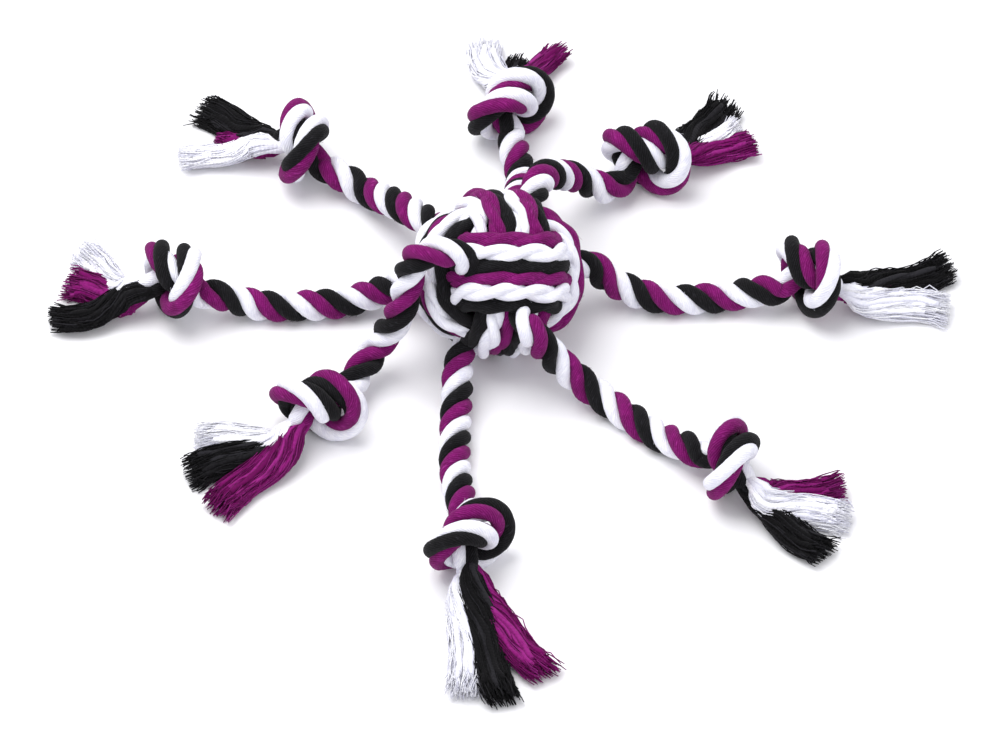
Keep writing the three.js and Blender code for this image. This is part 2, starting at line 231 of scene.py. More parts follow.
# A new cotton with its node tree, its place in the piece, and its places round and along the strand.
def startCotton(name):
    material = bpy.data.materials.new(name)
    material.use_nodes = True
    tree = material.node_tree
    place = addNode(tree, "ShaderNodeTexCoord", {}, {}).outputs["Object"]
    strandUv = addNode(tree, "ShaderNodeUVMap", {"uv_map": "strandUv"}, {}).outputs["UV"]
    parts = addNode(tree, "ShaderNodeSeparateXYZ", {}, {"Vector": strandUv}).outputs
    return material, tree, place, parts["X"], parts["Y"]


def finishCotton(tree, colour, tone, paleShare, height, form):
    shades = cottonDyes[colour]
    ground = mixNode(tree, tone, dye(shades["deep"]), dye(shades["full"]))
    # The pale colour goes where paleShare is high: pale flecks and paler loose yarns, and on the laid
    # strands also a painted highlight on the yarn crests.
    finished = mixNode(tree, paleShare, ground, dye(shades["paleAndHighlight"]))
    bump = addNode(tree, "ShaderNodeBump", {}, {
        "Height": height, "Distance": form["depthMm"] * millimetre, "Strength": form["bumpStrength"]})
    shader = tree.nodes["Principled BSDF"]
    tree.links.new(finished, shader.inputs["Base Color"])
    tree.links.new(bump.outputs["Normal"], shader.inputs["Normal"])
    for socket, value in form["surface"].items():
        shader.inputs[socket].default_value = value


def strandCotton(colour):
    material, tree, place, around, lengthwise = startCotton(f"laidCotton_{colour}")
    wobble = noiseNode(tree, place, perMm(grooves["wobbleMm"]), softNoise)
    across = mathNode(tree, "MULTIPLY", around, grooves["around"])
    slanting = mathNode(tree, "MULTIPLY_ADD", lengthwise, -grooves["perHundredMm"], across)
    phase = mathNode(tree, "MULTIPLY_ADD", wobble, grooves["wobbleTurns"], slanting)
    yarns = mathNode(tree, "SINE", mathNode(tree, "MULTIPLY", phase, 2 * math.pi))
    fibre = noiseNode(tree, place, perMm(grooves["fibreMm"]), fineNoise)
    mottle = noiseNode(tree, place, perMm(grooves["mottleMm"]), fineNoise)
    streakPlace = addNode(tree, "ShaderNodeCombineXYZ", {}, {
        "X": phase, "Y": mathNode(tree, "MULTIPLY", lengthwise, grooves["streaksPerHundredMm"])})
    streaks = noiseNode(tree, streakPlace.outputs[0], grooves["streakScale"], softNoise)
    height = mathNode(tree, "MULTIPLY_ADD", fibre, grooves["fibreShare"], yarns)
    tone = shareNode(tree, mathNode(tree, "ADD", mottle, streaks), grooves["unevenLimits"])
    # Painted highlight: the crests of the grooves get the pale colour, and the grooves keep the darker
    # ground as painted shade. The pale flecks along the streaks are the cotton's own.
    crest = mathNode(tree, "MULTIPLY", height, fibre)
    crestHighlightShare = shareNode(tree, crest, grooves["paleAndHighlightLimits"], grooves["paleAndHighlightMost"])
    fleckShare = shareNode(tree, streaks, grooves["fleckLimits"], grooves["fleckMost"])
    paleShare = mathNode(tree, "MAXIMUM", crestHighlightShare, fleckShare)
    finishCotton(tree, colour, tone, paleShare, height, grooves)
    return material


def looseYarn(colour):
    material, tree, place, around, lengthwise = startCotton(f"frayedCotton_{colour}")
    own = addNode(tree, "ShaderNodeAttribute", {"attribute_name": "yarnShade"}, {}).outputs["Fac"]
    plies = mathNode(tree, "MULTIPLY", around, spinning["plies"])
    twist = mathNode(tree, "MULTIPLY_ADD", lengthwise, spinning["turnsPerHundredMm"], plies)
    ridges = mathNode(tree, "SINE", mathNode(tree, "MULTIPLY", twist, 2 * math.pi))
    fibre = noiseNode(tree, place, perMm(spinning["fibreMm"]), softNoise)
    uneven = mathNode(tree, "MULTIPLY_ADD", fibre, spinning["fibreShare"], own)
    tone = shareNode(tree, uneven, spinning["unevenLimits"])
    paleShare = shareNode(tree, uneven, spinning["paleAndHighlightLimits"], spinning["paleAndHighlightMost"])
    finishCotton(tree, colour, tone, paleShare, ridges, spinning)
    return material


colours = ("purple", "black", "white")
strandMaterials = [strandCotton(colour) for colour in colours]
yarnMaterials = {colour: looseYarn(colour) for colour in colours}
print("cotton materials are mixed")


def unit(vectors):
    return vectors / np.linalg.norm(vectors, axis=-1, keepdims=True)


def travelled(line):
    return np.concatenate([[0.0], np.cumsum(np.linalg.norm(np.diff(line, axis=0), axis=1))])


def evenSteps(line, step):
    run = travelled(line)
    count = max(2, round(run[-1] / step)) + 1
    wanted = np.linspace(0.0, run[-1], count)
    return np.stack([np.interp(wanted, run, line[:, axis]) for axis in range(3)], axis=1)


# The same smooth line through a rope's points as in the CAD routes.
def ropeLine(points, step, perSpan=40):
    points = np.asarray(points, float)
    padded = np.vstack([2 * points[0] - points[1], points, 2 * points[-1] - points[-2]])
    share = np.linspace(0.0, 1.0, perSpan, endpoint=False)[:, None]
    spans = []
    for a, b, c, d in zip(padded, padded[1:], padded[2:], padded[3:]):
        ab, bc, cd = [np.linalg.norm(q - p) ** 0.5 for p, q in ((a, b), (b, c), (c, d))]
        leaving = ((b - a) / ab - (c - a) / (ab + bc) + (c - b) / bc) * bc
        arriving = ((c - b) / bc - (d - b) / (bc + cd) + (d - c) / cd) * bc
        spans.append(b + leaving * share + (3 * (c - b) - 2 * leaving - arriving) * share ** 2
                     + (2 * (b - c) + leaving + arriving) * share ** 3)
    return evenSteps(np.vstack([*spans, points[-1:]]), step)


# Directions across a line that follow it without turning about it.
def carriedFrames(line, firstNormal):
    along = unit(np.gradient(line, axis=0))
    normals = np.empty_like(line)
    normal = firstNormal
    for i, direction in enumerate(along):
        normal = unit(normal - normal.dot(direction) * direction)
        normals[i] = normal
    return along, normals, np.cross(along, normals)


# What rests on the floor is pressed flat there. A strand's UV runs once round it, and along it
# by its length in units of 100 mm.
floorLevel = 0.02
uvUnit = 100.0


# Makes one mesh of many tubes. A tube has its line, the directions in which its seam lies, its
# radius at each point, its material and a share that tells its yarn from the others.
def tubeObject(name, tubes, materials):
    corners, faces, places, slots, smooth, shades = [], [], [], [], [], []
    first = 0
    for tube in tubes:
        line, closed, sides = tube["line"], tube.get("closed", False), tube["sides"]
        angles = np.linspace(0.0, 2 * math.pi, sides, endpoint=False)
        count = len(line)
        if closed:
            along = unit(np.roll(line, -1, axis=0) - np.roll(line, 1, axis=0))
            run = travelled(np.vstack([line, line[:1]]))
        else:
            along = unit(np.gradient(line, axis=0))
            run = travelled(line)
        normal = tube["normal"]
        normal = unit(normal - (normal * along).sum(axis=1, keepdims=True) * along)
        side = np.cross(along, normal)
        rings = (line[:, None] + tube["radii"][:, None, None]
                 * (np.cos(angles)[None, :, None] * normal[:, None]
                    + np.sin(angles)[None, :, None] * side[:, None]))
        corners.append(rings.reshape(-1, 3))
        shades.append(np.full(count * sides, tube.get("shade", 0.5)))
        i, j = np.meshgrid(np.arange(count if closed else count - 1), np.arange(sides), indexing="ij")
        nextI, nextJ = (i + 1) % count, (j + 1) % sides
        quads = np.stack([i * sides + j, i * sides + nextJ, nextI * sides + nextJ,
                          nextI * sides + j], axis=-1).reshape(-1, 4) + first
        faces.extend(quads.tolist())
        u0, u1 = j / sides, (j + 1) / sides
        v0, v1 = run[i] / uvUnit, run[i + 1] / uvUnit
        places.append(np.stack([u0, v0, u1, v0, u1, v1, u0, v1], axis=-1).reshape(-1, 2))
        slots.extend([tube["material"]] * len(quads))
        smooth.extend([True] * len(quads))
        if not closed:
            end = first + (count - 1) * sides
            faces.append(list(range(first + sides - 1, first - 1, -1)))
            faces.append(list(range(end, end + sides)))
            share = np.arange(sides) / sides
            places.append(np.stack([share[::-1], np.zeros(sides)], axis=-1))
            places.append(np.stack([share, np.full(sides, run[-1] / uvUnit)], axis=-1))
            slots.extend([tube["material"]] * 2)
            smooth.extend([False] * 2)
        first += count * sides
    mesh = bpy.data.meshes.new(name)
    points = np.vstack(corners)
    points[:, 2] = np.maximum(points[:, 2], floorLevel)
    mesh.from_pydata((points * millimetre).tolist(), [], faces)
    layer = mesh.uv_layers.new(name="strandUv")
    layer.data.foreach_set("uv", np.vstack(places).ravel())
    mesh.polygons.foreach_set("material_index", slots)
    mesh.polygons.foreach_set("use_smooth", smooth)
    own = mesh.attributes.new("yarnShade", "FLOAT", "POINT")
    own.data.foreach_set("value", np.concatenate(shades))
    for material in materials:
        mesh.materials.append(material)
    mesh.update()
    piece = bpy.data.objects.new(name, mesh)
    bpy.context.scene.collection.objects.link(piece)
    return piece


# The shortest random wave, as a share of the longest.
shortestWave = 0.3


# A smooth run of small random bends, the same in every run.
def unevenness(count, dice, waves=3, longest=60.0, step=1.0):
    place = np.arange(count) * step
    total = np.zeros(count)
    for _ in range(waves):
        length = longest * dice.uniform(shortestWave, 1.0)
        total += np.sin(2 * math.pi * (place / length + dice.random())) / waves
    return total


# Three strands laid right-handed. They bulge past the rope's own line. Inside the knot the lay
# opens and the rope is squeezed, in the ball it is gripped, and it thins where its tassel is wrapped.
lay = {
    "insidePitch": 22.5, "knotPitch": 46.0, "strandRadius": 2.95, "knotStrandRadius": 3.05,
    "sides": 16, "step": 0.9, "insideReach": 17.0, "bendLength": 20.0, "smoothRounds": 6,
    "smoothing": 0.5, "seamPoints": 2,
    "knotEase": 12.0, "knotSlack": 0.2, "gripLead": 6.0, "gripEase": 12.0, "gripSpread": 0.22,
    "gripThinning": 0.08, "wrapThinning": 0.45, "seamThinning": 0.02, "slowSwell": 0.035,
    "slowWave": 24.0, "quickSwell": 0.025, "quickWave": 7.0, "quickWaves": 4,
}

# The CAD routes again: shares of the plan grid from the ball's middle, each bend with its lift
# above lying flat. An arch takes the place of a straight way out of the ball. pitch is its lay,
# shows is a pixel of the photo with the strand that faces the viewer there, and lightNext is true
# where white follows black going outwards.
arms = {
    "front": {"route": [(-0.164, -0.467, 0.02), (-0.172, -0.678, 0), (-0.168, -0.88, 0)],
              "knot": (-0.119, -1.31), "heading": 274, "roll": 262,
              "pitch": 24.5, "shows": ((459, 417), "purple"), "lightNext": False,
              "locks": {"white": (-0.143, -2.06), "black": (0.035, -2.10), "purple": (0.21, -1.95)}},
    "front_right": {"route": [(0.217, -0.36, 0.18), (0.34, -0.40, 0.055), (0.504, -0.514, 0),
                              (0.668, -0.66, 0)],
                    "knot": (0.935, -0.89), "heading": 319, "roll": 250,
                    "pitch": 28.0, "shows": ((626, 420), "purple"), "lightNext": True,
                    "locks": {"black": (1.35, -1.28), "white": (1.44, -1.10), "purple": (1.42, -0.92)}},
    "right": {"route": [(0.463, 0.15, 0.075), (0.60, 0.125, 0.01), (0.75, 0.107, 0), (0.93, 0.123, 0)],
              "knot": (1.283, 0.12), "heading": 2, "roll": 245,
              "pitch": 24.5, "shows": ((701, 293), "black"), "lightNext": False,
              "locks": {"black": (1.87, 0.33), "purple": (1.62, 0.19, 0.4), "white": (1.86, 0.07)}},
    "rear_right": {"route": [(0.19, 0.46, 0.37), (0.25, 0.57, 0.26), (0.34, 0.68, 0.12)],
                   "knot": (0.62, 0.83), "heading": 36, "roll": 265,
                   "pitch": 26.0, "shows": ((580, 172), "black"), "lightNext": True,
                   "locks": {"black": (0.955, 1.26), "white": (1.0, 1.13, 0.5), "purple": (1.07, 1.02)}},
    "rear": {"route": [(0.085, 0.52, 0.17), (0.094, 0.66, 0.07), (0.10, 0.80, 0.01)],
             "knot": (0.05, 1.12), "heading": 96, "roll": 275,
             "pitch": 22.5, "shows": ((517, 158), "purple"), "lightNext": False,
             "locks": {"white": (-0.05, 1.60), "black": (0.09, 1.50, 0.8), "purple": (0.27, 1.56)}},
    "rear_left": {"route": [(-0.336, 0.43, 0.17), (-0.44, 0.58, 0.09), (-0.54, 0.71, 0.01)],
                  "knot": (-0.82, 0.885), "heading": 148, "roll": 290,
                  "pitch": 26.0, "shows": ((377, 197), "purple"), "lightNext": True,
                  "locks": {"black": (-1.24, 1.22), "purple": (-1.17, 1.02, 0.6), "white": (-1.32, 0.93)}},
    "left": {"route": [(-0.50, 0.11, 0.035), (-0.644, 0.09, 0), (-0.80, 0.073, 0), (-0.98, 0.076, 0)],
             "knot": (-1.332, 0.09), "heading": 177, "roll": 305,
             "pitch": 23.5, "shows": ((321, 303), "purple"), "lightNext": False,
             "locks": {"white": (-1.72, 0.40), "purple": (-1.78, 0.22, 0.9), "black": (-1.84, 0.03)}},
    "front_left": {"arch": [(-0.153, -0.166, 0.397), (-0.120, -0.171, 0.450), (-0.118, -0.177, 0.512),
                            (-0.147, -0.183, 0.566), (-0.200, -0.187, 0.599), (-0.262, -0.189, 0.601),
                            (-0.317, -0.187, 0.572), (-0.350, -0.182, 0.519), (-0.354, -0.177, 0.468)],
                   "route": [(-0.40, -0.23, 0.27), (-0.49, -0.235, 0.09)],
                   "knot": (-0.74, -0.56), "heading": 228, "roll": 258,
                   "pitch": 32.0, "shows": ((364, 350), "purple"), "lightNext": True,
                   "locks": {"white": (-1.24, -0.67), "black": (-1.27, -0.85), "purple": (-1.15, -1.05)}},
}

# A loose overhand knot, drawn tight as in the CAD: its ends are pulled apart, while its points
# keep an even spacing and a rope's width from each other.
tying = {
    "pieces": 64, "rounds": 700, "passes": 4, "lead": 1.2, "spare": 8.2, "looseReach": 2.15,
    "loose": 0.55, "looseRise": 0.45, "looseLead": 3.3, "thin": 0.3, "grow": 0.84, "draw": 0.6,
    "near": 1.45, "stiffness": 0.12, "press": 0.015, "settle": 0.01, "freePieces": 4, "easePieces": 8,
    "looseSteps": 1201, "lookAround": 1.1,
}


def tieKnot():
    halfRun = tying["lead"]
    tightLength = 2 * halfRun + tying["spare"]
    t = tying["looseReach"] * np.linspace(-1.0, 1.0, tying["looseSteps"])
    loose = np.stack([t ** 3 - 3 * t, t ** 4 - 4 * t ** 2,
                      tying["looseRise"] * (t ** 5 - 10 * t)], axis=1) * tying["loose"]
    farOut = tying["looseLead"]
    loose = np.vstack([[-farOut, *loose[0, 1:]], loose, [farOut, *loose[-1, 1:]]])
    looseLength = travelled(loose)[-1]
    last = tying["pieces"]
    points = evenSteps(loose, looseLength / last).tolist()
    starts = [list(points[0]), list(points[last])]
    ends = [[-halfRun, 0.0, 0.0], [halfRun, 0.0, 0.0]]

    def keepApart(i, j, wanted, onlyNearer):
        a, b = points[i], points[j]
        x, y, z = b[0] - a[0], b[1] - a[1], b[2] - a[2]
        apart = math.sqrt(x * x + y * y + z * z)
        if onlyNearer and apart >= wanted:
            return
        push = (wanted - apart) / apart / 2
        if i > 1:
            points[i] = [a[0] - x * push, a[1] - y * push, a[2] - z * push]
        if j < last - 1:
            points[j] = [b[0] + x * push, b[1] + y * push, b[2] + z * push]

    for turn in range(tying["rounds"]):
        share = min(1.0, turn / (tying["draw"] * tying["rounds"]))
        step = (looseLength + (tightLength - looseLength) * share) / last
        keep = min(1.0, tying["thin"] + tying["grow"] * share)
        skip = math.ceil(tying["near"] * keep / step)
        points[0] = [a + (b - a) * share for a, b in zip(starts[0], ends[0])]
        points[last] = [a + (b - a) * share for a, b in zip(starts[1], ends[1])]
        points[1] = [points[0][0] + step, *points[0][1:]]
        points[last - 1] = [points[last][0] - step, *points[last][1:]]
        for _ in range(tying["passes"]):
            for i in range(2, last - 1):
                a, b, c = points[i - 1], points[i], points[i + 1]
                points[i] = [q + ((p + r) / 2 - q) * tying["stiffness"] for p, q, r in zip(a, b, c)]
                held = (min(i, last - i) - tying["freePieces"]) / tying["easePieces"]
                held = share * min(1.0, max(0.0, held))
                points[i][0] *= 1 - tying["press"] * held
                points[i][2] *= 1 - tying["settle"] * held
            for i in range(last):
                keepApart(i, i + 1, step, False)
            cloud = np.array(points)
            apart = np.linalg.norm(cloud[:, None] - cloud[None], axis=2)
            nearPairs = np.argwhere(np.triu(apart < keep * tying["lookAround"], skip))
            for i, j in nearPairs.tolist():
                keepApart(i, j, keep, True)
            for i in range(2, last // 2 + 1):
                a, b = points[i], points[last - i]
                a = [(a[0] - b[0]) / 2, (a[1] + b[1]) / 2, (a[2] - b[2]) / 2]
                points[i] = a
                points[last - i] = [-a[0], a[1], -a[2]]
    return np.array(points)


knotShape = tieKnot() * knotWidth
print("an overhand knot is tied")


def onPlan(shares, height):
    return np.array([ballCentre[0] + shares[0] * toy["armGrid"],
                     ballCentre[1] + shares[1] * toy["armGrid"], height])


def clearBall(point):
    leaning = toy["ballDiameter"] / 2 + ropeRadius + toy["clearance"] + toy["liftOff"]
    outward = point - ballCentre
    reach = np.linalg.norm(outward)
    return point if reach >= leaning else ballCentre + outward * leaning / reach


# Lays three strands round a line. angles is the lay's turn at each point.
def laidStrands(line, normals, sides, angles, spread, radii, order, dice):
    tubes = []
    for index, colour in enumerate(order):
        turn = angles + 2 * math.pi * index / 3
        outward = np.cos(turn)[:, None] * normals + np.sin(turn)[:, None] * sides
        swell = 1 + lay["slowSwell"] * unevenness(len(line), dice, longest=lay["slowWave"])
        swell += lay["quickSwell"] * unevenness(len(line), dice, lay["quickWaves"], lay["quickWave"])
        tubes.append({"line": line + outward * spread[:, None], "normal": -outward,
                      "radii": radii * swell, "material": colours.index(colour), "sides": lay["sides"]})
    return tubes


# Fibres that have come loose: fine, short and nearly flat on their strand.
fuzz = {"perTenMm": 5.0, "shortest": 0.8, "longest": 2.4, "radius": 0.045, "stand": 0.3, "bend": 0.16,
        "rootShare": 0.95, "sides": 3, "points": 5}


def looseFibres(strands, dice):
    fibres = []
    for strand in strands:
        line, radii = strand["line"], strand["radii"]
        along = unit(np.gradient(line, axis=0))
        for _ in range(round(travelled(line)[-1] / 10 * fuzz["perTenMm"])):
            i = dice.randrange(2, len(line) - 2)
            lean = np.array([dice.gauss(0.0, 1.0) for _ in range(3)])
            outward = unit(lean - lean.dot(along[i]) * along[i])
            reach = dice.uniform(fuzz["shortest"], fuzz["longest"])
            bend = np.array([dice.uniform(-1.0, 1.0) for _ in range(3)]) * fuzz["bend"]
            share = np.linspace(0.0, 1.0, fuzz["points"])[:, None]
            drift = outward * fuzz["stand"] + along[i] * dice.choice((-1, 1))
            fibre = (line[i] + outward * radii[i] * fuzz["rootShare"]
                     + reach * (drift * share + bend * share ** 2))
            fibres.append({"line": fibre, "normal": np.tile(along[i] + bend, (fuzz["points"], 1)),
                           "radii": np.full(fuzz["points"], fuzz["radius"]),
                           "material": strand["material"], "sides": fuzz["sides"]})
    return fibres


def smoothShare(value):
    value = np.clip(value, 0.0, 1.0)
    return value * value * (3 - 2 * value)


# The knot turned to its arm's heading and roll, set on the floor.
def placedKnot(arm, heading, sideways):
    roll = math.radians(arm["roll"])
    rolled = knotShape @ np.array([[1, 0, 0], [0, math.cos(roll), math.sin(roll)],
                                   [0, -math.sin(roll), math.cos(roll)]])
    knot = rolled @ np.array([heading, sideways, up])
    underside = knot[:, 2].min() - knotTubeRadius
    return knot + onPlan(arm["knot"], toy["clearance"] / 2 - underside)


def raisedPoints(places):
    return [onPlan((x, y), lieHeight + lift * toy["armGrid"]) for x, y, lift in places]


# An arm's middle line, out of the ball, over its bends and through its knot, and the number of
# its points that come before the knot.
def armCourse(arm, root, knot, heading):
    entry = knot[0] - heading * toy["clearance"]
    bends = [clearBall(point) for point in raisedPoints(arm["route"])]
    wayOut = raisedPoints(arm.get("arch", []))
    if not wayOut:
        wayOut = [root + unit(ballCentre - root) * lay["insideReach"], root]
    free = ropeLine([*wayOut, *bends, entry - heading * ropeRadius, entry], lay["step"])
    whole = np.vstack([free, ropeLine(knot, lay["step"])[1:]])
    for _ in range(lay["smoothRounds"]):
        whole[1:-1] += lay["smoothing"] * ((whole[:-2] + whole[2:]) / 2 - whole[1:-1])
    return whole, len(free)


# Where each tassel lock ends and how wide it is, from the knot's one side to its other.
def tasselLocks(arm, knotEnd, sideways):
    locks = []
    for colour, share in arm["locks"].items():
        tip = onPlan(share, toy["lockThickness"] / 2)
        width = toy["lockWidth"] * (share[2] if len(share) > 2 else 1.0)
        locks.append({"colour": colour, "tip": tip, "width": width, "aside": (tip - knotEnd).dot(sideways)})
    return sorted(locks, key=lambda lock: lock["aside"])


# The lay's turn at each point of an arm. The strand that the photo shows faces the viewer at its
# pixel, and the lay is eased along the knot until each strand leaves on its own lock's side.
def layTurns(arm, order, locks, whole, cut, inKnot, normals, sides):
    run = travelled(whole)
    rate = 2 * math.pi * ((1 - inKnot) / arm["pitch"] + inKnot / lay["knotPitch"])
    turns = np.concatenate([[0.0], np.cumsum(rate[1:] * np.diff(run))])
    pixel, colour = arm["shows"]
    seen = np.argmin(np.linalg.norm(inPhoto(whole[:cut]) - pixel, axis=1))
    shown = math.atan2(towardsViewer.dot(sides[seen]), towardsViewer.dot(normals[seen]))
    turns += shown - turns[seen] - 2 * math.pi * order.index(colour) / 3
    middle = order.index(locks[1]["colour"])
    follower = order[(middle + 1) % 3]
    wanted = up if follower == locks[0]["colour"] else -up
    current = turns[-1] + 2 * math.pi * middle / 3
    target = math.atan2(wanted.dot(sides[-1]), wanted.dot(normals[-1]))
    turnLeft = (target - current + math.pi) % (2 * math.pi) - math.pi
    return turns + turnLeft * smoothShare((run - run[cut]) / (run[-1] - run[cut]))


# A stretch of each strand, thinner over its first points, where it lies in the piece before it.
def cutStrands(strands, begin, end, thinned):
    pieces = []
    for strand in strands:
        piece = {key: value[begin:end] if isinstance(value, np.ndarray) else value
                 for key, value in strand.items()}
        piece["radii"] = piece["radii"].copy()
        piece["radii"][:thinned] *= 1 - lay["seamThinning"]
        pieces.append(piece)
    return pieces


def makeArm(name, arm):
    dice = random.Random(f"arm {name}")
    body = f"{name}_arm"
    facingAngle = math.radians(arm["heading"])
    heading = np.array([math.cos(facingAngle), math.sin(facingAngle), 0.0])
    sideways = np.cross(up, heading)
    root = roots[body]
    knot = placedKnot(arm, heading, sideways)
    whole, cut = armCourse(arm, root, knot, heading)
    locks = tasselLocks(arm, knot[-1], sideways)
    _, normals, sides = carriedFrames(whole, up)
    run = travelled(whole)
    leaving = np.argmin(np.linalg.norm(whole[:cut] - root, axis=1))
    inKnot = smoothShare((run - run[cut]) / lay["knotEase"] + 0.5)
    order = ("black", "purple", "white") if arm["lightNext"] else ("black", "white", "purple")
    turns = layTurns(arm, order, locks, whole, cut, inKnot, normals, sides)

    freeSpread = ropeRadius - lay["strandRadius"]
    knotSpread = knotWidth / 2 + lay["knotSlack"] - lay["knotStrandRadius"]
    gripped = 1 - smoothShare((run - run[leaving] + lay["gripLead"]) / lay["gripEase"])
    wrapped = smoothShare((run - run[-1]) / fray["wrap"] + 1)
    spread = (freeSpread + (knotSpread - freeSpread) * inKnot) * (1 - lay["gripSpread"] * gripped)
    radii = lay["strandRadius"] + (lay["knotStrandRadius"] - lay["strandRadius"]) * inKnot
    radii = radii * (1 - lay["gripThinning"] * gripped) * (1 - lay["wrapThinning"] * wrapped)
    strands = laidStrands(whole, normals, sides, turns, spread, radii, order, dice)

    ropeStrands = cutStrands(strands, 0, cut + 1, 0)
    ropeStrands += looseFibres(ropeStrands, dice)
    rope = tubeObject(f"{name}_laid_rope", ropeStrands, strandMaterials)
    knotStrands = cutStrands(strands, cut - lay["seamPoints"], len(whole), lay["seamPoints"] + 1)
    knotStrands += looseFibres(knotStrands, dice)
    tied = tubeObject(f"{name}_overhand_knot", knotStrands, strandMaterials)
    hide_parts(f"{name}_arm_rope")
    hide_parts(f"{name}_knot")
    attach(tied, body)

    tassel = []
    for lock in locks:
        strand = strands[order.index(lock["colour"])]
        tassel.append(makeLock(name, lock, strand["line"], heading))
        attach(tassel[-1], body)

    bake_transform(rope)


# A frayed strand: thick yarns in its middle and fine threads round them. All leave the strand
# packed, then spread, wave and end unevenly, each a little curled at its tip.
fray = {
    "threads": 210, "threadRadius": 0.3, "threadSides": 3, "threadReach": 0.95, "threadWander": 0.6,
    "strayEvery": 21, "strayWander": 2.0,
    "yarns": 22, "yarnRadius": 1.3, "yarnSides": 7, "yarnReach": 0.86, "yarnWander": 0.4,
    "yarnShare": 0.8, "step": 3.0, "packed": 3.6, "packedStart": 0.45, "packedEase": 1.8,
    "wrap": 6.0, "opening": 9.0, "ragged": 0.055, "sway": 2.2, "swayLeast": 0.6,
    "leadShare": 0.18, "dropShare": 0.35, "twist": 1.6, "twistEase": 0.6, "calm": 0.15,
    "acrossWave": 30.0, "upwardWave": 26.0, "upwardShare": 0.7, "curlShare": 0.1,
    "curlAcross": 1.6, "curlDown": 0.5, "curlUp": 1.2, "restGap": 0.05, "pile": 0.5,
    "swell": 0.12, "swellWave": 16.0, "tipShare": 0.75, "fewestSteps": 8,
}
goldenAngle = math.pi * (3 - math.sqrt(5))


def makeLock(name, lock, strandLine, heading):
    colour = lock["colour"]
    dice = random.Random(f"lock {name} {colour}")
    start = strandLine[-1]
    wrapped = round(fray["wrap"] / lay["step"])
    tip = lock["tip"]
    leadLength = fray["leadShare"] * np.linalg.norm(tip - start)
    lieCentre = toy["lockThickness"] / 2
    lead = start + heading * leadLength
    lead[2] = start[2] + (lieCentre - start[2]) * fray["dropShare"]
    middle = (start + tip) / 2 + heading * leadLength / 3
    middle[2] = lieCentre + fray["dropShare"] * (knotTubeRadius - lieCentre)
    line = ropeLine([strandLine[-1 - wrapped], strandLine[-1 - wrapped // 2], start,
                     start + heading * ropeRadius / 2, lead, middle, tip], 1.0)
    along, normals, sides = carriedFrames(line, up)
    run = travelled(line)
    length = run[-1]
    endThick = toy["lockThickness"] / 2
    sway = fray["sway"] * dice.choice((-1, 1)) * dice.uniform(fray["swayLeast"], 1.0)

    def alongLock(values, place):
        return np.stack([np.interp(place, run, values[:, axis]) for axis in range(3)], axis=1)

    def spin(index, total, fill, reachShare, radius, sideCount, wander):
        packedShare = fill * math.sqrt((index + 0.5) / total)
        reach = length * (reachShare + fray["ragged"] * dice.uniform(-1.0, 1.0))
        count = max(fray["fewestSteps"], int(reach / fray["step"])) + 1
        place = np.linspace(0.0, reach, count)
        share = place / length
        opened = 1 - np.exp(-fray["opening"] * np.maximum(place - fray["wrap"], 0.0) / length)
        gathered = smoothShare(place / (fray["packedEase"] * fray["wrap"]))
        packed = fray["packed"] * (fray["packedStart"] + (1 - fray["packedStart"]) * gathered)
        halfWidth = packed + (lock["width"] / 2 - packed) * opened
        halfThick = packed + (endThick - packed) * opened
        turn = index * goldenAngle + fray["twist"] * smoothShare(share / fray["twistEase"])
        wave = wander * (fray["calm"] + opened)
        across = packedShare * np.cos(turn) * halfWidth + wave * unevenness(
            count, dice, longest=fray["acrossWave"], step=fray["step"])
        upwards = packedShare * np.sin(turn) * halfThick + fray["upwardShare"] * wave * unevenness(
            count, dice, longest=fray["upwardWave"], step=fray["step"])
        across = across + sway * np.sin(2 * math.pi * share) * opened
        curl = smoothShare((share - reachShare + fray["curlShare"]) / fray["curlShare"])
        across = across + dice.uniform(-fray["curlAcross"], fray["curlAcross"]) * curl
        upwards = upwards + dice.uniform(-fray["curlDown"], fray["curlUp"]) * curl
        inside = np.minimum(place, length)
        centre = alongLock(line, inside) + along[-1] * np.maximum(place - length, 0.0)[:, None]
        normal = alongLock(normals, inside)
        yarn = centre + across[:, None] * alongLock(sides, inside) + upwards[:, None] * normal
        lowest = radius + fray["restGap"] + fray["pile"] * packedShare * dice.random()
        yarn[:, 2] = np.maximum(yarn[:, 2], lowest)
        radii = radius * (1 + fray["swell"] * unevenness(
            count, dice, longest=fray["swellWave"], step=fray["step"]))
        radii[-1] *= fray["tipShare"]
        return {"line": yarn, "normal": normal, "radii": radii, "material": 0,
                "shade": dice.random(), "sides": sideCount}

    tubes = [spin(i, fray["yarns"], fray["yarnShare"], fray["yarnReach"], fray["yarnRadius"],
                  fray["yarnSides"], fray["yarnWander"]) for i in range(fray["yarns"])]
    for i in range(fray["threads"]):
        wander = fray["threadWander"] if i % fray["strayEvery"] else fray["strayWander"]
        tubes.append(spin(i, fray["threads"], 1.0, fray["threadReach"], fray["threadRadius"],
                          fray["threadSides"], wander))
    piece = tubeObject(f"{name}_{colour}_yarns", tubes, [yarnMaterials[colour]])
    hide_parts(f"{name}_{colour}_lock")
    return piece


for armName, armLayout in arms.items():
    makeArm(armName, armLayout)
print("arms, knots and tassels are made")


